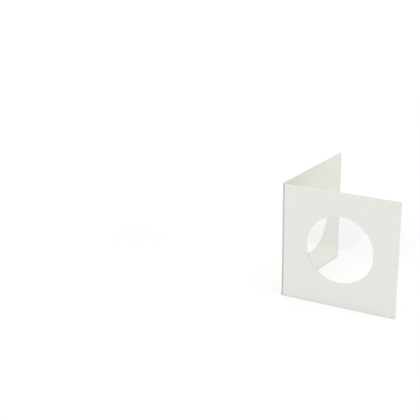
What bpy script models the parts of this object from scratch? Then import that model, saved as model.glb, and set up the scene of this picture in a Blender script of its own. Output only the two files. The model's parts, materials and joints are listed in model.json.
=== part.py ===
"""Folding card coin holder with a round clear window in each leaf.

One die-cut blank of white board carries a bond coat and a clear film on its inner face.
Two score lines leave a narrow spine between the leaves, so each layer comes in three
rigid stretches: front leaf, spine and rear leaf. The score lines are V-grooves whose
walls meet as the holder shuts.

Metres, +Z up. The holder stands on its lower cut edges with its leaves part open. The
front leaf's outer face looks along -Y, and the origin is at the centre of the footprint.
"""

import math

import bmesh
import bpy
from mathutils import Vector

MM = 0.001

# Blank
LEAF_WIDTH = 50.0 * MM  # from a leaf's score line to its free edge
LEAF_HEIGHT = 50.0 * MM
CARD_THICKNESS = 0.54 * MM
WINDOW_DIAMETER = 29.2 * MM
WINDOW_INSET = 25.0 * MM  # window centre from the score line
WINDOW_RISE = 25.1 * MM  # window centre above the lower edge

# Lining
BOND_THICKNESS = 0.02 * MM
BOND_MARGIN = 0.4 * MM  # bond coat stops this far inside the blank's cut edges
FILM_THICKNESS = 0.05 * MM
FILM_MARGIN = 0.1 * MM  # film stops this far inside the blank's cut edges
LAYER_GAP = 0.005 * MM  # clearance between two layers

# Fold
OPENING_ANGLE = math.radians(84.0)  # between the leaves, as the holder stands
SHUT_GAP = 0.3 * MM  # between the two films when the leaves are parallel
SCORE_TURN = math.radians(90.0)  # most that one score line folds, from flat to shut
SCORE_GAP = 0.02 * MM  # between the stretches along a score line

WINDOW_SIDES = 128

# Depths of the layers below the outer face: (from, to)
CARD_DEPTHS = (0.0, CARD_THICKNESS)
BOND_DEPTHS = (CARD_DEPTHS[1] + LAYER_GAP, CARD_DEPTHS[1] + LAYER_GAP + BOND_THICKNESS)
FILM_DEPTHS = (BOND_DEPTHS[1] + LAYER_GAP, BOND_DEPTHS[1] + LAYER_GAP + FILM_THICKNESS)
LINED_THICKNESS = FILM_DEPTHS[1]

SPINE_WIDTH = 2 * LINED_THICKNESS + SHUT_GAP
REST_TURN = (math.pi - OPENING_ANGLE) / 2  # fold at each score line, counted from flat


def wall_offset(depth):
    """How far a groove's wall stands back from its score line at this depth."""
    return SCORE_GAP / 2 + depth * math.tan(SCORE_TURN / 2)


def leaf_outline(depths, margin):
    """Cross-section of one layer of a leaf: X away from the score line, Y inwards."""
    outer, inner = depths
    free_edge = LEAF_WIDTH - margin
    return [
        (wall_offset(outer), outer),
        (free_edge, outer),
        (free_edge, inner),
        (wall_offset(inner), inner),
    ]


def spine_outline(depths):
    """Cross-section of one layer of the spine, from its front score line towards +X."""
    outer, inner = depths
    return [
        (wall_offset(outer), outer),
        (SPINE_WIDTH - wall_offset(outer), outer),
        (SPINE_WIDTH - wall_offset(inner), inner),
        (wall_offset(inner), inner),
    ]


def direction(angle):
    return Vector((math.cos(angle), math.sin(angle)))


def footprint_centre():
    """Centre of the standing holder's footprint, seen from the front score line."""
    along, inwards = direction(OPENING_ANGLE), direction(OPENING_ANGLE - math.pi / 2)
    rear_line = SPINE_WIDTH * direction(math.pi - REST_TURN)
    outline = leaf_outline(CARD_DEPTHS, 0.0)
    corners = [Vector(p) for p in outline]
    corners += [rear_line + x * along + y * inwards for x, y in outline]
    low = Vector((min(p.x for p in corners), min(p.y for p in corners)))
    high = Vector((max(p.x for p in corners), max(p.y for p in corners)))
    return (low + high) / 2


def remove_old_objects():
    for old in list(bpy.data.objects):
        bpy.data.objects.remove(old, do_unlink=True)


def new_collection(name):
    collection = bpy.data.collections.new(name)
    bpy.context.scene.collection.children.link(collection)
    return collection


def material(name, colour, roughness, alpha=1.0):
    mat = bpy.data.materials.new(name)
    mat.use_nodes = True
    shader = mat.node_tree.nodes["Principled BSDF"]
    shader.inputs["Base Color"].default_value = (*colour, 1.0)
    shader.inputs["Roughness"].default_value = roughness
    shader.inputs["Metallic"].default_value = 0.0
    shader.inputs["Alpha"].default_value = alpha
    return mat


def score_line(name, collection, point, angle):
    """An empty on a score line, whose X runs along the stretch that starts there."""
    empty = bpy.data.objects.new(name, None)
    empty.empty_display_size = 5 * MM
    empty.location = (point.x, point.y, 0.0)
    empty.rotation_euler = (0.0, 0.0, angle)
    collection.objects.link(empty)
    return empty


def upright_sheet(name, collection, outline, low, high, side, parent, mat):
    """A cross-section drawn as a filled 2D curve, stood up between two heights."""
    curve = bpy.data.curves.new(name, "CURVE")
    curve.dimensions = "2D"
    curve.fill_mode = "BOTH"
    curve.extrude = (high - low) / 2
    spline = curve.splines.new("POLY")
    spline.points.add(len(outline) - 1)
    for point, (x, y) in zip(spline.points, outline):
        point.co = (x, side * y, 0.0, 1.0)
    spline.use_cyclic_u = True
    drawn = bpy.data.objects.new(name + "_curve", curve)
    collection.objects.link(drawn)
    bpy.context.view_layer.update()

    evaluated = drawn.evaluated_get(bpy.context.evaluated_depsgraph_get())
    mesh = bpy.data.meshes.new_from_object(evaluated)
    mesh.name = name
    bpy.data.objects.remove(drawn, do_unlink=True)
    bm = bmesh.new()
    bm.from_mesh(mesh)
    bmesh.ops.remove_doubles(bm, verts=bm.verts, dist=0.0001 * MM)
    bmesh.ops.translate(bm, verts=bm.verts, vec=(0.0, 0.0, (low + high) / 2))
    bmesh.ops.recalc_face_normals(bm, faces=bm.faces)
    bm.to_mesh(mesh)
    bm.free()

    sheet = bpy.data.objects.new(name, mesh)
    sheet.parent = parent
    mesh.materials.clear()
    mesh.materials.append(mat)
    collection.objects.link(sheet)
    return sheet


def window_cutter(name, collection, diameter, side, parent):
    """A cylinder through one leaf at its window."""
    bm = bmesh.new()
    bmesh.ops.create_cone(
        bm,
        cap_ends=True,
        segments=WINDOW_SIDES,
        radius1=diameter / 2,
        radius2=diameter / 2,
        depth=4 * LINED_THICKNESS,
    )
    mesh = bpy.data.meshes.new(name)
    bm.to_mesh(mesh)
    bm.free()
    cutter = bpy.data.objects.new(name, mesh)
    cutter.parent = parent
    cutter.location = (WINDOW_INSET, side * LINED_THICKNESS / 2, WINDOW_RISE)
    cutter.rotation_euler = (math.pi / 2, 0.0, 0.0)
    cutter.hide_render = True
    cutter.display_type = "WIRE"
    collection.objects.link(cutter)
    return cutter


def cut_window(sheet, cutter):
    cut = sheet.modifiers.new("window", "BOOLEAN")
    cut.operation = "DIFFERENCE"
    cut.solver = "EXACT"
    cut.object = cutter


def build_leaf(prefix, side, line, parts, cutters, mats):
    """Card, bond coat and film of one leaf. Side is 1 where inwards is to the left."""
    card = upright_sheet(
        prefix + "_card", parts, leaf_outline(CARD_DEPTHS, 0.0),
        0.0, LEAF_HEIGHT, side, line, mats["card"],
    )
    bond = upright_sheet(
        prefix + "_bond", parts, leaf_outline(BOND_DEPTHS, BOND_MARGIN),
        BOND_MARGIN, LEAF_HEIGHT - BOND_MARGIN, side, line, mats["bond"],
    )
    upright_sheet(
        prefix + "_film", parts, leaf_outline(FILM_DEPTHS, FILM_MARGIN),
        FILM_MARGIN, LEAF_HEIGHT - FILM_MARGIN, side, line, mats["film"],
    )
    die = window_cutter(prefix + "_window", cutters, WINDOW_DIAMETER, side, line)
    bond_die = window_cutter(
        prefix + "_bond_window", cutters, WINDOW_DIAMETER + 2 * BOND_MARGIN, side, line,
    )
    cut_window(card, die)
    cut_window(bond, bond_die)


def build_spine(line, parts, mats):
    """The three layers between the score lines, on the outward side of their line."""
    upright_sheet(
        "spine_card", parts, spine_outline(CARD_DEPTHS),
        0.0, LEAF_HEIGHT, -1, line, mats["card"],
    )
    upright_sheet(
        "spine_bond", parts, spine_outline(BOND_DEPTHS),
        BOND_MARGIN, LEAF_HEIGHT - BOND_MARGIN, -1, line, mats["bond"],
    )
    upright_sheet(
        "spine_film", parts, spine_outline(FILM_DEPTHS),
        FILM_MARGIN, LEAF_HEIGHT - FILM_MARGIN, -1, line, mats["film"],
    )


def main():
    remove_old_objects()
    parts = new_collection("coin_holder")
    cutters = new_collection("cutters")
    mats = {
        "card": material("card", (0.79, 0.80, 0.745), 0.8),
        "bond": material("bond", (0.76, 0.75, 0.62), 0.5),
        "film": material("film", (0.93, 0.95, 0.96), 0.06, alpha=0.2),
    }

    front_point = -footprint_centre()
    spine_angle = math.pi - REST_TURN
    rear_point = front_point + SPINE_WIDTH * direction(spine_angle)
    front_line = score_line("front_leaf_line", parts, front_point, 0.0)
    spine_line = score_line("front_score_line", parts, front_point, spine_angle)
    rear_line = score_line("rear_score_line", parts, rear_point, OPENING_ANGLE)

    build_leaf("front", 1, front_line, parts, cutters, mats)
    build_spine(spine_line, parts, mats)
    build_leaf("rear", -1, rear_line, parts, cutters, mats)
    bpy.context.view_layer.update()


main()
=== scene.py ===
"""Looks of the folding card coin holder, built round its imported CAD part.

Each half of the blank, a leaf with its side of the spine, is one board that bends at its
score line, and each leaf has a film. These stand for the CAD solids. The bond coats and
the spine's film keep their CAD shapes and get materials.
"""

import json
import math

import bmesh
import bpy
from mathutils import Matrix, Vector, noise


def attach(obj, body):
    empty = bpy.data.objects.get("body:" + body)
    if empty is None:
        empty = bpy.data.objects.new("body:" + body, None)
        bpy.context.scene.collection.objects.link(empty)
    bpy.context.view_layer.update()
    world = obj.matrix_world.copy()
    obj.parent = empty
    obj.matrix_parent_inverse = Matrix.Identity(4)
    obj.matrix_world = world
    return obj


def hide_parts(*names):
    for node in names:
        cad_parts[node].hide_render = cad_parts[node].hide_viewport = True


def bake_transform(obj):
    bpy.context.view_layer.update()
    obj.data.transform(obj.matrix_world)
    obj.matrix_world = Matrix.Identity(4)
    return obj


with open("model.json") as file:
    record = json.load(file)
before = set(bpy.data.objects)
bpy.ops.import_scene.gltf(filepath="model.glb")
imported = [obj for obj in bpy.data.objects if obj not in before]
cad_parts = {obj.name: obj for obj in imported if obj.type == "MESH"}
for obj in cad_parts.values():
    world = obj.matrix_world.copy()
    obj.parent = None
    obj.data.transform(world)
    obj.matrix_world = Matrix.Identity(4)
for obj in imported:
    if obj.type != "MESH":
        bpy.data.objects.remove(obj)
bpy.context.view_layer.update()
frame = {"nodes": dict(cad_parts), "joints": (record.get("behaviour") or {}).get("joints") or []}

MM = 0.001

# Blank, as the CAD part has it
LEAF_WIDTH = 50.0 * MM  # from a score line to the free edge
LEAF_HEIGHT = 50.0 * MM
CARD_THICKNESS = 0.54 * MM
SPINE_WIDTH = 1.54 * MM  # between the score lines
WINDOW_RADIUS = 14.6 * MM
WINDOW_INSET = 25.0 * MM  # window centre from the score line
WINDOW_RISE = 25.1 * MM  # window centre above the lower edge
FILM_DEPTHS = (0.57 * MM, 0.62 * MM)  # the film's two sides, below the outer face
FILM_MARGIN = 0.1 * MM  # film stops this far inside the blank's cut edges
FILM_START = 0.63 * MM  # film starts this far from the score line

# Fold at rest
OPENING = math.radians(84.0)  # between the leaves
REST_TURN = (math.pi - OPENING) / 2  # at each score line, counted from flat
BEND_HALF = 0.26 * MM  # the board bends this far to either side of a score line
BEND_RADIUS = BEND_HALF / math.tan(REST_TURN / 2)  # outer face of the bend, inside the sharp corner

# Groove on the inner side of a score line
GROOVE_WEB = 0.11 * MM  # board left under the score line
GROOVE_SLACK = 0.03 * MM  # extra clearance of the groove's walls
GROOVE_ROUND = 0.06 * MM  # rounds the foot of the groove
GROOVE_HALF = 0.60 * MM  # the groove's wall meets the inner face this far from the score line

# Cut edges of the board
OUTER_ROUND = 0.05 * MM  # the die rolls the outer face over
INNER_ROUND = 0.02 * MM
INNER_LEAST = 0.85  # where the board is thin, the inner round starts at this share of its depth
ROLL_OVER = ((1.0, 0.0), (0.35, 0.10), (0.0, 0.5))  # shares of it, drawn in and below the face
WALL_LOOPS = (0.3, 0.5, 0.7)  # shares of the thickness

# Loops of the board's mesh
PER_SIDE = 72  # points along one side of a leaf
RIGID_FROM = 0.80 * MM  # the leaf's flat plate starts this far from its score line
FACE_LOOPS = (0.12, 0.35, 0.62, 0.88)  # shares of the way from the window to the outline
BEND_STEPS = 16
BESIDE_BEND = tuple(k * MM for k in (0.32, 0.40, 0.48, 0.56, 0.62, 0.70))  # from the score line

# Loops and form of the film
FILM_PER_SIDE = 48
FILM_WINDOW_LOOPS = (0.08, 0.16, 0.25, 0.34, 0.43, 0.52, 0.61, 0.70, 0.79, 0.87, 0.93, 0.97, 1.0)
FILM_BOARD_LOOPS = (0.3, 0.65, 1.0)
FILM_SLACK = 0.10 * MM  # how far the film may stand off its plane in the window
FILM_WAVES = ((1.3, 2.0, 0.0, 7.0, 0.6), (3.1, 0.0, 4.0, 11.0, 0.25))  # pace, shifts, seed, size

# Waves of the die-cut window's edge: pace, seed, size
WINDOW_WAVES = ((9, 3.0, 0.012 * MM), (60, 9.0, 0.007 * MM))

# Smooth shading ends where a face as large as this meets another at an angle
LARGE_FACE = (0.2 * MM) ** 2

# Material slots of a board half and of a film
FACE, CUT_EDGE, INNER_FACE = 0, 1, 2
LAID, FREE = 0, 1


def score_line(name):
    """Where a hinge of the frame stands, seen from above."""
    joint = next(joint for joint in frame["joints"] if joint["name"] == name)
    return Vector(joint["pos_m"][:2])


def turned(vector, angle):
    c, s = math.cos(angle), math.sin(angle)
    return Vector((c * vector.x - s * vector.y, s * vector.x + c * vector.y))


class Half:
    """One half of the blank: a leaf and its side of the spine, bent at one score line."""

    def __init__(self, line, angle, side):
        """Side is 1 where inwards is to the left of the leaf's run from its score line."""
        self.line = line
        self.along = Vector((math.cos(angle), math.sin(angle)))
        self.inwards = turned(self.along, side * math.pi / 2)
        self.turn = -side * REST_TURN
        self.side = side
        self.bend_centre = line + BEND_HALF * self.along + BEND_RADIUS * self.inwards

    def place(self, s, d, z):
        """Row-frame point of a place on the blank: s from the score line, d deep, z up."""
        if abs(s) < BEND_HALF:
            angle = (0.5 - s / (2 * BEND_HALF)) * self.turn
            at = self.bend_centre + (d - BEND_RADIUS) * turned(self.inwards, angle)
        else:
            angle = self.turn if s < 0 else 0.0
            at = self.line + turned(s * self.along + d * self.inwards, angle)
        return Vector((at.x, at.y, z))


FRONT = Half(score_line("front_score"), 0.0, 1)
REAR = Half(score_line("rear_score"), OPENING, -1)


# Objects
def add_object(name, data):
    obj = bpy.data.objects.new(name, data)
    bpy.context.scene.collection.objects.link(obj)
    return obj


def mesh_object(name, bm, mats):
    mesh = bpy.data.meshes.new(name)
    bm.to_mesh(mesh)
    bm.free()
    for mat in mats:
        mesh.materials.append(mat)
    return add_object(name, mesh)


# Nodes
class Tree:
    """Short calls for building the nodes of one material or world."""

    def __init__(self, owner):
        owner.use_nodes = True
        self.owner = owner
        self.nodes = owner.node_tree.nodes
        self.links = owner.node_tree.links
        self.nodes.clear()

    def node(self, kind, inputs=None, **settings):
        made = self.nodes.new(kind)
        for key, value in settings.items():
            setattr(made, key, value)
        for key, value in (inputs or {}).items():
            self.put(made.inputs[key], value)
        return made

    def put(self, socket, value):
        if isinstance(value, bpy.types.NodeSocket):
            self.links.new(value, socket)
        else:
            socket.default_value = value

    def math(self, operation, *values):
        made = self.node("ShaderNodeMath", operation=operation)
        for socket, value in zip(made.inputs, values):
            self.put(socket, value)
        return made.outputs[0]

    def times(self, a, b):
        return self.math("MULTIPLY", a, b)

    def larger(self, a, b):
        return self.math("MAXIMUM", a, b)

    def varied(self, base, field, amount):
        """The base, moved by amount times how far a field of 0 to 1 is from its middle."""
        return self.math("MULTIPLY_ADD", self.math("SUBTRACT", field, 0.5), amount, base)

    def mapped(self, value, low, high, to_low=0.0, to_high=1.0):
        made = self.node("ShaderNodeMapRange", {
            "Value": value, "From Min": low, "From Max": high, "To Min": to_low, "To Max": to_high,
        }, clamp=True, interpolation_type="SMOOTHSTEP")
        return made.outputs["Result"]

    def mix(self, factor, a, b):
        made = self.node("ShaderNodeMix", {"Factor": factor}, data_type="RGBA")
        self.put(made.inputs["A"], a)
        self.put(made.inputs["B"], b)
        return made.outputs["Result"]

    def blended(self, factor, first, second):
        """The second shader in the first one's place, by the factor."""
        made = self.node("ShaderNodeMixShader", {0: factor, 1: first, 2: second})
        return made.outputs[0]

    def noise(self, vector, scale, detail=3.0, roughness=0.55, distortion=0.0):
        return self.node("ShaderNodeTexNoise", {
            "Vector": vector, "Scale": scale, "Detail": detail, "Roughness": roughness,
            "Distortion": distortion,
        }).outputs["Fac"]

    def stretched(self, vector, scale, rotation=(0.0, 0.0, 0.0)):
        made = self.node("ShaderNodeMapping", {"Vector": vector, "Scale": scale, "Rotation": rotation})
        return made.outputs["Vector"]

    def spots(self, vector, scale, radii, share):
        """Round soft spots in a share of the cells; radii are where a spot starts and ends to fade."""
        cells = self.node("ShaderNodeTexVoronoi", {"Vector": vector, "Scale": scale}, feature="F1")
        spot = self.mapped(cells.outputs["Distance"], radii[0], radii[1], 1.0, 0.0)
        draw = self.node("ShaderNodeSeparateColor", {"Color": cells.outputs["Color"]}).outputs[0]
        return self.times(spot, self.math("GREATER_THAN", draw, 1.0 - share))

    def bump(self, height, distance, strength, normal=None):
        inputs = {"Height": height, "Distance": distance, "Strength": strength}
        if normal is not None:
            inputs["Normal"] = normal
        return self.node("ShaderNodeBump", inputs).outputs["Normal"]

    def finish(self, shader, output="ShaderNodeOutputMaterial"):
        self.node(output, {"Surface": shader})
        return self.owner


def new_tree(name):
    return Tree(bpy.data.materials.new(name))


def colour(r, g, b):
    return (r, g, b, 1.0)


WHITE = colour(1.0, 1.0, 1.0)


# Board
SPECK = colour(0.52, 0.46, 0.36)
# Painted shade along a score line: a darker crease band and a darker pressed line
CREASE_SHADE = colour(0.56, 0.555, 0.515)
PRESSED_LINE_SHADE = colour(0.46, 0.455, 0.42)
CREASE_WAVER = 0.22 * MM  # how far the crease band's border strays
CREASE_FADE = (-0.05 * MM, 0.34 * MM)  # the band ends over these places beside the score line
PRESSED_FADE = (0.04 * MM, 0.34 * MM)  # the pressed line ends this far to either side


def sheet_place(t):
    """Place on the flat blank in metres, which stays with the board as it folds."""
    return t.node(
        "ShaderNodeAttribute", attribute_name="place", attribute_type="GEOMETRY",
    ).outputs["Vector"]


def fibres(t, place, scale, across, angle):
    """Short curved pulp fibres: thin bands of a distorted noise, drawn out along one way."""
    field = t.noise(t.stretched(place, across, (0.0, 0.0, angle)), scale, 2.0, 0.5, 0.6)
    off_middle = t.math("ABSOLUTE", t.math("SUBTRACT", field, 0.5))
    return t.mapped(off_middle, 0.0, 0.018, 1.0, 0.0)


def board_face_material(name, base, low_tone):
    """Calendered white board: cloudy formation, fibres, specks, and painted shade in a band along the
    crease.
    """
    t = new_tree(name)
    place = sheet_place(t)
    cloud = t.noise(place, scale=420.0, detail=4.0, roughness=0.6)
    broad = t.noise(place, scale=75.0, detail=3.0, roughness=0.5)
    grain = t.noise(place, scale=3200.0, detail=3.0, roughness=0.6)
    long_fibres = fibres(t, place, scale=900.0, across=(1.0, 1.0, 0.45), angle=0.3)
    short_fibres = fibres(t, place, scale=1700.0, across=(0.5, 1.0, 1.0), angle=1.1)
    speck = t.spots(place, scale=330.0, radii=(0.03, 0.075), share=0.14)

    shade = t.varied(0.5, cloud, 0.10)
    shade = t.varied(shade, broad, 0.30)
    shade = t.varied(shade, grain, 0.25)
    shade = t.math("MULTIPLY_ADD", long_fibres, -0.10, shade)
    shade = t.math("MULTIPLY_ADD", short_fibres, 0.08, shade)
    tone = t.mix(t.mapped(shade, 0.2, 0.8), low_tone, base)
    tone = t.mix(t.times(speck, 0.35), tone, SPECK)

    # the board is pressed along a score line; a darker band and a darker pressed line there are painted
    # shade
    from_line = t.node("ShaderNodeSeparateXYZ", {"Vector": place}).outputs["X"]
    from_line = t.varied(from_line, t.noise(place, scale=1400.0), CREASE_WAVER)
    crease_shade_band = t.mapped(from_line, CREASE_FADE[0], CREASE_FADE[1], 1.0, 0.0)
    pressed = t.mapped(t.math("ABSOLUTE", from_line), PRESSED_FADE[0], PRESSED_FADE[1], 1.0, 0.0)
    tone = t.mix(t.times(crease_shade_band, 0.92), tone, CREASE_SHADE)
    tone = t.mix(t.times(pressed, 0.55), tone, PRESSED_LINE_SHADE)
    wrinkle = t.noise(t.stretched(place, (1.0, 1.0, 0.28)), scale=3600.0, detail=4.0, roughness=0.6)

    tooth = t.math("ADD", t.times(grain, 0.7), t.times(cloud, 0.6))
    normal = t.bump(tooth, 0.010 * MM, 0.6)
    normal = t.bump(t.math("SUBTRACT", long_fibres, short_fibres), 0.002 * MM, 0.5, normal)
    normal = t.bump(t.times(wrinkle, pressed), 0.06 * MM, 0.6, normal)
    shader = t.node("ShaderNodeBsdfPrincipled", {
        "Base Color": tone,
        "Roughness": t.mapped(grain, 0.3, 0.7, 0.72, 0.86),
        "Specular IOR Level": 0.32,
        "Normal": normal,
    })
    return t.finish(shader.outputs["BSDF"])


def board_edge_material():
    """Die-cut edge of the board: pressed plies with loose fibre ends, creamier than the face."""
    t = new_tree("board_cut_edge")
    place = sheet_place(t)
    depth = t.node("ShaderNodeSeparateXYZ", {"Vector": place}).outputs["Y"]
    depth = t.varied(depth, t.noise(place, scale=600.0, detail=3.0), 0.09 * MM)
    plies = t.node("ShaderNodeTexWave", {
        "Vector": t.node("ShaderNodeCombineXYZ", {"X": depth}).outputs["Vector"],
        "Scale": 2300.0,
    }, wave_type="BANDS", bands_direction="X").outputs["Fac"]
    strands = t.noise(t.stretched(place, (0.35, 3.0, 0.35)), scale=5200.0, detail=5.0, roughness=0.65)
    fuzz = t.noise(place, scale=6500.0, detail=4.0, roughness=0.6)

    shade = t.varied(0.5, plies, 0.35)
    shade = t.varied(shade, strands, 1.6)
    shade = t.varied(shade, fuzz, 0.7)
    tone = t.mix(t.mapped(shade, 0.0, 1.0), colour(0.785, 0.777, 0.712), colour(0.865, 0.860, 0.803))
    normal = t.bump(t.math("ADD", strands, t.times(plies, 0.35)), 0.03 * MM, 0.6)
    normal = t.bump(fuzz, 0.008 * MM, 0.5, normal)
    shader = t.node("ShaderNodeBsdfPrincipled", {
        "Base Color": tone,
        "Roughness": t.mapped(fuzz, 0.3, 0.7, 0.84, 0.96),
        "Specular IOR Level": 0.2,
        "Normal": normal,
    })
    return t.finish(shader.outputs["BSDF"])


def bond_material():
    """Laminating adhesive over the board: satin, slightly yellow, with fine trapped dimples."""
    t = new_tree("bond_coat")
    place = t.node("ShaderNodeTexCoord").outputs["Object"]
    broad = t.noise(place, scale=90.0, detail=3.0, roughness=0.5)
    orange_peel = t.noise(place, scale=1500.0, detail=2.0, roughness=0.5)
    fibre = t.noise(t.stretched(place, (1.0, 1.0, 0.4)), scale=1300.0, detail=4.0, roughness=0.6)
    dimple = t.spots(place, scale=420.0, radii=(0.04, 0.13), share=0.20)

    shade = t.varied(0.5, broad, 0.7)
    shade = t.varied(shade, fibre, 0.5)
    tone = t.mix(t.mapped(shade, 0.2, 0.8), colour(0.800, 0.798, 0.705), colour(0.835, 0.833, 0.748))
    tone = t.mix(t.times(dimple, 0.25), tone, colour(0.88, 0.885, 0.83))
    normal = t.bump(orange_peel, 0.012 * MM, 0.5)
    normal = t.bump(dimple, 0.006 * MM, 0.5, normal)
    shader = t.node("ShaderNodeBsdfPrincipled", {
        "Base Color": tone,
        "Roughness": t.mapped(orange_peel, 0.3, 0.7, 0.42, 0.58),
        "Specular IOR Level": 0.10,
        "Normal": normal,
    })
    return t.finish(shader.outputs["BSDF"])


def film_material(name, tint, mirrored_share, haze):
    """Clear polyester film: gloss by angle, faint haze, rubs and a slow ripple."""
    t = new_tree(name)
    place = t.node("ShaderNodeTexCoord").outputs["Object"]
    ripple = t.noise(place, scale=140.0, detail=2.0, roughness=0.5)
    fine_ripple = t.noise(place, scale=700.0, detail=3.0, roughness=0.55)
    streaks = t.stretched(place, (7.0, 7.0, 0.6), (0.2, 0.1, 0.3))
    rub = t.mapped(t.noise(streaks, scale=260.0, detail=4.0, roughness=0.7), 0.60, 0.72)
    mist = t.noise(place, scale=55.0, detail=3.0, roughness=0.5)

    normal = t.bump(ripple, 0.06 * MM, 0.35)
    normal = t.bump(fine_ripple, 0.004 * MM, 0.3, normal)
    rough = t.math("MULTIPLY_ADD", rub, 0.10, t.mapped(mist, 0.3, 0.7, 0.012, 0.035))
    gloss = t.node("ShaderNodeBsdfGlossy", {
        "Color": colour(0.98, 0.98, 0.97), "Roughness": rough, "Normal": normal,
    })
    clear = t.node("ShaderNodeBsdfTransparent", {"Color": tint})
    veil = t.node("ShaderNodeBsdfDiffuse", {"Color": colour(0.92, 0.93, 0.94)})
    facing = t.node("ShaderNodeLayerWeight", {"Blend": 0.5, "Normal": normal}).outputs["Facing"]
    mirrored = t.math("MULTIPLY_ADD", t.math("POWER", facing, 5.0), 1 - mirrored_share, mirrored_share)
    misted = t.mapped(mist, 0.3, 0.7, 0.4 * haze, 1.6 * haze)
    misted = t.math("MULTIPLY_ADD", rub, 0.010, misted)
    film = t.blended(mirrored, clear.outputs[0], gloss.outputs[0])
    return t.finish(t.blended(misted, film, veil.outputs[0]))


# Shapes
def perimeter(low_s, high_s, low_z, high_z, per_side):
    """Points round a rectangle, corners included, as (s, z)."""
    corners = [(low_s, low_z), (high_s, low_z), (high_s, high_z), (low_s, high_z)]
    points = []
    for i, (s0, z0) in enumerate(corners):
        s1, z1 = corners[(i + 1) % 4]
        points += [
            (s0 + (s1 - s0) * k / per_side, z0 + (z1 - z0) * k / per_side)
            for k in range(per_side)
        ]
    return points


def angles_from_window(outline):
    return [math.atan2(z - WINDOW_RISE, s - WINDOW_INSET) for s, z in outline]


def on_circle(radius, angle):
    """Place on the blank, as (s, z), at this radius and angle from the window's centre."""
    return WINDOW_INSET + radius * math.cos(angle), WINDOW_RISE + radius * math.sin(angle)


def along_way(start, end, share):
    return start[0] + (end[0] - start[0]) * share, start[1] + (end[1] - start[1]) * share


def split_flat_faces(bm, least_angle):
    """Ends smooth shading where two faces meet at an angle and one of them is large."""
    for edge in bm.edges:
        if len(edge.link_faces) == 2 and edge.calc_face_angle(0.0) > least_angle:
            if max(face.calc_area() for face in edge.link_faces) > LARGE_FACE:
                edge.smooth = False


def groove_depth(s):
    """Thickness of the board beside a score line, where the groove has thinned it."""
    wall = math.hypot(abs(s) - GROOVE_WEB - GROOVE_SLACK, GROOVE_ROUND)
    rounded = 0.5 * (abs(s) + GROOVE_WEB - GROOVE_SLACK) + 0.5 * wall
    return min(rounded, CARD_THICKNESS)


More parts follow.
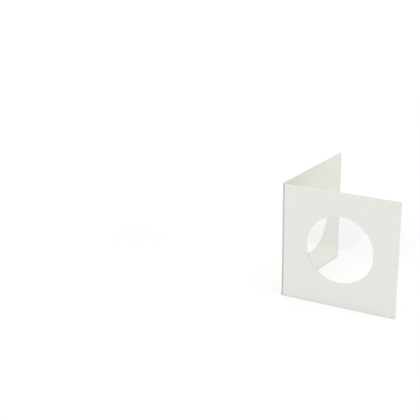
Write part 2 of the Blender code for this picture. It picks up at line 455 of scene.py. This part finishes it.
class CardHalf:
    """One closed mesh: a leaf with its window, the bent strip and half of the spine."""

    def __init__(self, half):
        self.half = half
        self.bm = bmesh.new()
        self.layer = self.bm.verts.layers.float_vector.new("place")
        self.outline = perimeter(RIGID_FROM, LEAF_WIDTH, 0.0, LEAF_HEIGHT, PER_SIDE)
        self.angles = angles_from_window(self.outline)
        self.radii = [WINDOW_RADIUS + self.wander(angle) for angle in self.angles]

    def wander(self, angle):
        """How far the die-cut window strays from its circle, in long and in short waves."""
        x, y = math.cos(angle), math.sin(angle)
        return sum(
            size * noise.noise(Vector((pace * x, pace * y, self.half.side + seed)))
            for pace, seed, size in WINDOW_WAVES
        )

    def vert(self, s, d, z):
        made = self.bm.verts.new(self.half.place(s, d, z))
        made[self.layer] = (s, d, z)
        return made

    def face(self, verts, material):
        made = self.bm.faces.new(verts)
        made.material_index = material
        made.smooth = True

    def rows(self, row_a, row_b, material):
        """Faces between two open rows of vertices."""
        for i in range(len(row_a) - 1):
            self.face((row_a[i], row_a[i + 1], row_b[i + 1], row_b[i]), material)

    def rings(self, ring_a, ring_b, material):
        """Faces between two closed rings of vertices."""
        self.rows(ring_a + ring_a[:1], ring_b + ring_b[:1], material)

    def circle(self, extra, d):
        """Ring round the window, wider than it by extra."""
        places = [on_circle(radius + extra, angle) for radius, angle in zip(self.radii, self.angles)]
        return [self.vert(s, d, z) for s, z in places]

    def drawn_in(self, inset):
        """The outline, drawn in on its three cut sides and not on the fold side."""
        return [
            (min(s, LEAF_WIDTH - inset), min(max(z, inset), LEAF_HEIGHT - inset))
            for s, z in self.outline
        ]

    def rectangle(self, inset, d):
        return [self.vert(s, d, z) for s, z in self.drawn_in(inset)]

    def between(self, share, inset, d):
        """Ring part of the way from the window to the outline, both set back by inset."""
        made = []
        for end, radius, angle in zip(self.drawn_in(inset), self.radii, self.angles):
            s, z = along_way(on_circle(radius + inset, angle), end, share)
            made.append(self.vert(s, d, z))
        return made

    def plate(self):
        """Flat part of the leaf, open at its fold side, and the rings that the strip joins."""
        hole_out = [self.circle(drawn * OUTER_ROUND, below * OUTER_ROUND) for drawn, below in ROLL_OVER]
        hole_in = [
            self.circle(INNER_ROUND, CARD_THICKNESS),
            self.circle(0.0, CARD_THICKNESS - INNER_ROUND),
        ]
        rim_out = [self.rectangle(drawn * OUTER_ROUND, below * OUTER_ROUND) for drawn, below in ROLL_OVER]
        rim_in = [
            self.rectangle(INNER_ROUND, CARD_THICKNESS),
            self.rectangle(0.0, CARD_THICKNESS - INNER_ROUND),
        ]
        outer = [self.between(share, OUTER_ROUND, 0.0) for share in FACE_LOOPS]
        inner = [self.between(share, INNER_ROUND, CARD_THICKNESS) for share in FACE_LOOPS]
        outer = [hole_out[0], *outer, rim_out[0]]
        inner = [hole_in[0], *inner, rim_in[0]]
        for ring_a, ring_b in zip(outer, outer[1:]):
            self.rings(ring_a, ring_b, FACE)
        for ring_a, ring_b in zip(inner, inner[1:]):
            self.rings(ring_b, ring_a, INNER_FACE)

        hole_wall = [self.circle(0.0, CARD_THICKNESS * share) for share in WALL_LOOPS]
        rim_wall = [self.rectangle(0.0, CARD_THICKNESS * share) for share in WALL_LOOPS]
        hole = hole_out + hole_wall + hole_in[::-1]
        rim = rim_out + rim_wall + rim_in[::-1]
        cut_sides = range(3 * PER_SIDE + 1)
        for k in range(len(hole) - 1):
            material = FACE if k == 0 else CUT_EDGE
            self.rings(hole[k + 1], hole[k], material)
            self.rows([rim[k][i] for i in cut_sides], [rim[k + 1][i] for i in cut_sides], material)
        return rim

    def end_row(self, s, deep, base, outwards, outer_vert, inner_vert):
        """Vertices across the board at its top or bottom end, from the outer to the inner face."""
        squeeze = deep / CARD_THICKNESS
        row = [outer_vert]
        for drawn, below in ROLL_OVER[1:]:
            row.append(self.vert(s, below * OUTER_ROUND * squeeze, base - outwards * drawn * OUTER_ROUND))
        for share in WALL_LOOPS:
            row.append(self.vert(s, deep * share, base))
        row.append(self.vert(s, max(deep - INNER_ROUND, deep * INNER_LEAST), base))
        row.append(inner_vert)
        return row

    def strip(self, rim):
        """The board from the plate round the bend to the middle of the spine, with its end face."""
        fold_side = [*range(3 * PER_SIDE, 4 * PER_SIDE), 0]  # of the plate, from top to bottom
        heights = [LEAF_HEIGHT * (1 - k / PER_SIDE) for k in range(PER_SIDE + 1)]
        bend = [BEND_HALF * (1 - 2 * k / BEND_STEPS) for k in range(BEND_STEPS + 1)]
        stations = [*BESIDE_BEND[::-1], *bend, *(-s for s in BESIDE_BEND), -SPINE_WIDTH / 2]

        outer = [rim[0][i] for i in fold_side]
        inner = [rim[-1][i] for i in fold_side]
        top = [ring[fold_side[0]] for ring in rim]
        foot = [ring[fold_side[-1]] for ring in rim]
        for s in stations:
            deep = groove_depth(s)
            in_groove = deep < CARD_THICKNESS or abs(s) <= GROOVE_HALF
            outer_next = [
                self.vert(s, 0.0, min(max(z, OUTER_ROUND), LEAF_HEIGHT - OUTER_ROUND)) for z in heights
            ]
            inner_next = [
                self.vert(s, deep, min(max(z, INNER_ROUND), LEAF_HEIGHT - INNER_ROUND)) for z in heights
            ]
            top_next = self.end_row(s, deep, LEAF_HEIGHT, 1, outer_next[0], inner_next[0])
            foot_next = self.end_row(s, deep, 0.0, -1, outer_next[-1], inner_next[-1])
            self.rows(outer, outer_next, FACE)
            self.rows(inner_next, inner, CUT_EDGE if in_groove else INNER_FACE)
            for row, row_next in ((top_next, top), (foot, foot_next)):
                self.rows(row[:2], row_next[:2], FACE)
                self.rows(row[1:], row_next[1:], CUT_EDGE)
            outer, inner, top, foot = outer_next, inner_next, top_next, foot_next
        self.face(outer + foot[1:-1] + inner[::-1] + top[1:-1][::-1], CUT_EDGE)


def card_half(name, half, mats):
    card = CardHalf(half)
    card.strip(card.plate())
    bmesh.ops.recalc_face_normals(card.bm, faces=card.bm.faces)
    split_flat_faces(card.bm, math.radians(4.0))
    return mesh_object(name, card.bm, mats)


def film_slack(half, s, z):
    """How far the film stands off its plane: a slow wave in the window, none at its rim."""
    x, y = (s - WINDOW_INSET) / WINDOW_RADIUS, (z - WINDOW_RISE) / WINDOW_RADIUS
    r = math.hypot(x, y)
    if r >= 1.0:
        return 0.0
    wave = sum(
        size * noise.noise(Vector((pace * x + shift_x, pace * y + shift_y, seed * half.side)))
        for pace, shift_x, shift_y, seed, size in FILM_WAVES
    )
    return -FILM_SLACK * (1 - r * r) ** 1.5 * (0.5 + wave)


def film_side(bm, half, outline, depth):
    """Rings of one side of the film, from the window's centre to the film's outline."""
    angles = angles_from_window(outline)
    middle = half.place(WINDOW_INSET, depth + film_slack(half, WINDOW_INSET, WINDOW_RISE), WINDOW_RISE)
    rings = [[bm.verts.new(middle)] * len(angles)]
    for share in FILM_WINDOW_LOOPS:
        places = [on_circle(share * WINDOW_RADIUS, angle) for angle in angles]
        rings.append([bm.verts.new(half.place(s, depth + film_slack(half, s, z), z)) for s, z in places])
    for share in FILM_BOARD_LOOPS:
        rim = [on_circle(WINDOW_RADIUS, angle) for angle in angles]
        places = [along_way(start, end, share) for start, end in zip(rim, outline)]
        rings.append([bm.verts.new(half.place(s, depth, z)) for s, z in places])
    return rings


def film_sheet(name, half, mats):
    """A thin closed sheet over the leaf, flat on the board and slightly slack in the window."""
    bm = bmesh.new()
    outline = perimeter(
        FILM_START, LEAF_WIDTH - FILM_MARGIN, FILM_MARGIN, LEAF_HEIGHT - FILM_MARGIN, FILM_PER_SIDE,
    )
    sides = [film_side(bm, half, outline, depth) for depth in FILM_DEPTHS]
    count = len(outline)
    for rings in sides:
        for k, (ring, wider) in enumerate(zip(rings, rings[1:])):
            for i in range(count):
                j = (i + 1) % count
                corners = [ring[i], wider[i], wider[j]]
                if k > 0:
                    corners.append(ring[j])
                face = bm.faces.new(corners)
                face.smooth = True
                face.material_index = FREE if k < len(FILM_WINDOW_LOOPS) else LAID
    first, second = sides[0][-1], sides[1][-1]
    for i in range(count):
        j = (i + 1) % count
        bm.faces.new((first[i], first[j], second[j], second[i]))
    bmesh.ops.recalc_face_normals(bm, faces=bm.faces)
    split_flat_faces(bm, math.radians(40.0))
    return mesh_object(name, bm, mats)


# Pieces
outer_board = board_face_material(
    "board_outer_face", base=colour(0.798, 0.807, 0.758), low_tone=colour(0.773, 0.779, 0.733),
)
inner_board = board_face_material(
    "board_inner_face", base=colour(0.800, 0.810, 0.740), low_tone=colour(0.765, 0.772, 0.705),
)
cut_edge = board_edge_material()
bond = bond_material()
free_film = film_material(
    "film_in_window", tint=colour(0.995, 0.995, 0.994), mirrored_share=0.15, haze=0.006,
)
laid_film = film_material(
    "film_on_board", tint=colour(0.996, 0.996, 0.995), mirrored_share=0.006, haze=0.004,
)

front_card = card_half("front_half_card", FRONT, (outer_board, cut_edge, inner_board))
rear_card = card_half("rear_half_card", REAR, (outer_board, cut_edge, inner_board))
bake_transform(front_card)
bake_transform(rear_card)
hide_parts("front_card", "spine_card")
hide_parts("rear_card", "spine_card")

front_film = film_sheet("front_window_film", FRONT, (laid_film, free_film))
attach(front_film, "front_leaf")
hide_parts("front_film")
rear_film = film_sheet("rear_window_film", REAR, (laid_film, free_film))
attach(rear_film, "rear_leaf")
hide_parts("rear_film")

for node, mat in (
    ("front_bond", bond), ("rear_bond", bond), ("spine_bond", bond), ("spine_film", laid_film),
):
    materials = frame["nodes"][node].data.materials
    materials.clear()
    materials.append(mat)


# Floor
FLOOR_DROP = 0.02 * MM  # below the edges that the holder stands on
FLOOR_HALF = 3.0
FLOOR_GLOW = 1.095  # strength of the plain white part
NEAR_SHARE = 0.66  # plain white part of the floor round the holder; the rest is lit floor
FAR_SHARE = 0.96
FAR_FADE = (0.10, 0.60)  # the share rises between these distances from the holder
# Painted contact shadow: the floor's white dims within this reach of the holder's edges
CONTACT_SHADOW_REACH = 1.0 * MM
CONTACT_SHADOW_FADE = (0.35, 1.0)  # of how open the floor is within that reach
CONTACT_SHADOW_GLOW = 0.42  # right under an edge
# Painted shade: the floor's white dims where the holder closes it in, most deep between the leaves
SHELTER_SHADE_REACH = 40.0 * MM
SHELTER_SHADE_FADE = (0.25, 0.95)
SHELTER_SHADE_SHARE = 0.95  # deep between the leaves
# Painted reflection: only mirrored rays see this part of the floor dimmer, which puts a darker region in
# the film
MIRRORED_SHADE_SHARE = 0.74  # the film mirrors a floor of this brightness left of and beyond these fades
MIRRORED_SHADE_FADE_X = (-20.0 * MM, -15.0 * MM)
MIRRORED_SHADE_FADE_Y = (-92.0 * MM, -81.0 * MM)
# Painted shade: a soft dimmer patch of the floor's white behind the holder
SHADE_CENTRE = (-22.0 * MM, 47.0 * MM, 0.0)  # a dimmer patch, which the photo's window shows
SHADE_FADE = (15.0 * MM, 44.0 * MM)
SHADE_SHARE = 0.94


def floor_glow(t, paper):
    """Strength of the floor's white, with its painted shadow and shades and a painted darker floor that
    mirrored rays see.
    """
    # painted contact shadow: the white dims where the floor is closed in near an edge
    painted_contact_shadow = t.node("ShaderNodeAmbientOcclusion", {"Distance": CONTACT_SHADOW_REACH}, samples=16)
    # painted shade: the white dims where the holder closes the floor in
    painted_shelter_shade = t.node("ShaderNodeAmbientOcclusion", {"Distance": SHELTER_SHADE_REACH}, samples=16)
    strength = t.times(
        t.mapped(painted_contact_shadow.outputs["AO"], CONTACT_SHADOW_FADE[0], CONTACT_SHADOW_FADE[1], CONTACT_SHADOW_GLOW, FLOOR_GLOW),
        t.mapped(painted_shelter_shade.outputs["AO"], SHELTER_SHADE_FADE[0], SHELTER_SHADE_FADE[1], SHELTER_SHADE_SHARE, 1.0),
    )
    place = t.node("ShaderNodeSeparateXYZ", {"Vector": paper})
    # painted reflection: a dimmer floor that only glossy rays see
    mirrored = t.larger(
        t.mapped(place.outputs["X"], MIRRORED_SHADE_FADE_X[0], MIRRORED_SHADE_FADE_X[1], MIRRORED_SHADE_SHARE, 1.0),
        t.mapped(place.outputs["Y"], MIRRORED_SHADE_FADE_Y[0], MIRRORED_SHADE_FADE_Y[1]),
    )
    mirrored_ray = t.node("ShaderNodeLightPath").outputs["Is Glossy Ray"]
    strength = t.times(strength, t.larger(mirrored, t.math("SUBTRACT", 1.0, mirrored_ray)))
    # painted shade: a soft dimmer patch of the floor behind the holder
    from_shade = t.node("ShaderNodeVectorMath", {0: paper, 1: SHADE_CENTRE}, operation="DISTANCE")
    shade = t.mapped(from_shade.outputs["Value"], SHADE_FADE[0], SHADE_FADE[1], SHADE_SHARE, 1.0)
    return t.times(strength, shade)


def floor_material():
    """Pale matt floor, part of whose look is plain white."""
    t = new_tree("pale_floor")
    paper = t.node("ShaderNodeTexCoord").outputs["Object"]
    tone = t.mix(t.noise(paper, scale=12.0), colour(0.89, 0.89, 0.89), colour(0.91, 0.91, 0.91))
    lit = t.node("ShaderNodeBsdfDiffuse", {"Color": tone})
    white = t.node("ShaderNodeEmission", {"Color": WHITE, "Strength": floor_glow(t, paper)})
    distance = t.node("ShaderNodeVectorMath", {0: paper}, operation="LENGTH").outputs["Value"]
    share = t.mapped(distance, FAR_FADE[0], FAR_FADE[1], NEAR_SHARE, FAR_SHARE)
    return t.finish(t.blended(share, lit.outputs[0], white.outputs[0]))


bm = bmesh.new()
bmesh.ops.create_grid(bm, x_segments=8, y_segments=8, size=FLOOR_HALF)
floor = mesh_object("floor", bm, [floor_material()])
floor.location.z = -FLOOR_DROP


# Light
LAMP_DISTANCE = 1.2
LAMP_SIZE = 0.9
AMBIENT = 0.20


def area_light(name, towards, energy):
    """A soft lamp in the given direction from the holder's middle, facing it."""
    light = bpy.data.lights.new(name, "AREA")
    light.shape = "SQUARE"
    light.size = LAMP_SIZE
    light.energy = energy
    lamp = add_object(name, light)
    offset = Vector(towards).normalized() * LAMP_DISTANCE
    lamp.location = Vector((0.0, 0.0, LEAF_HEIGHT / 2)) + offset
    lamp.rotation_euler = offset.to_track_quat("Z", "Y").to_euler()


def studio_world():
    """Even ambient light, with plain white behind the holder."""
    t = Tree(bpy.data.worlds.new("studio"))
    path = t.node("ShaderNodeLightPath")
    direct_ray = t.larger(path.outputs["Is Camera Ray"], path.outputs["Is Transmission Ray"])
    ambient = t.node("ShaderNodeBackground", {"Color": WHITE, "Strength": AMBIENT})
    white = t.node("ShaderNodeBackground", {"Color": WHITE, "Strength": 1.0})
    shown = t.blended(direct_ray, ambient.outputs[0], white.outputs[0])
    return t.finish(shown, "ShaderNodeOutputWorld")


area_light("front", towards=(-0.12, -0.92, 0.36), energy=5.7)
area_light("right", towards=(0.97, -0.02, 0.14), energy=7.6)
area_light("top", towards=(0.05, 0.0, 1.0), energy=8.0)
area_light("back", towards=(-0.45, 0.75, 0.50), energy=2.8)
bpy.context.scene.world = studio_world()


# Camera, at the photograph's viewing angle
AZIMUTH = math.radians(29.066)  # from straight in front of the front leaf, towards its free edge
ELEVATION = math.radians(20.436)
ROLL = math.radians(-0.657)
DISTANCE = 428.767 * MM  # from the foot of the front score line
ACROSS = -30.936 * MM
RAISED = 36.083 * MM
FOCAL_PIXELS = 1005.105
IMAGE_PIXELS = 420
SENSOR_WIDTH = 36.0  # millimetres, as Blender counts it
NEAR_CLIP = 10.0 * MM


def photo_camera():
    backwards = Vector((
        math.sin(AZIMUTH) * math.cos(ELEVATION),
        -math.cos(AZIMUTH) * math.cos(ELEVATION),
        math.sin(ELEVATION),
    ))
    level = (-backwards).cross(Vector((0.0, 0.0, 1.0))).normalized()
    upright = level.cross(-backwards)
    right = math.cos(ROLL) * level + math.sin(ROLL) * upright
    up = -math.sin(ROLL) * level + math.cos(ROLL) * upright
    lens = bpy.data.cameras.new("camera")
    lens.sensor_fit = "HORIZONTAL"
    lens.sensor_width = SENSOR_WIDTH
    lens.lens = SENSOR_WIDTH * FOCAL_PIXELS / IMAGE_PIXELS
    lens.clip_start = NEAR_CLIP
    camera = add_object("camera", lens)
    foot = Vector((FRONT.line.x, FRONT.line.y, 0.0))
    where = foot + backwards * DISTANCE + right * ACROSS + up * RAISED
    turn = Matrix((right, up, backwards)).transposed().to_4x4()
    camera.matrix_world = Matrix.Translation(where) @ turn
    return camera


bpy.context.scene.camera = photo_camera()
bpy.context.scene.view_settings.view_transform = "Standard"

bpy.context.view_layer.update()
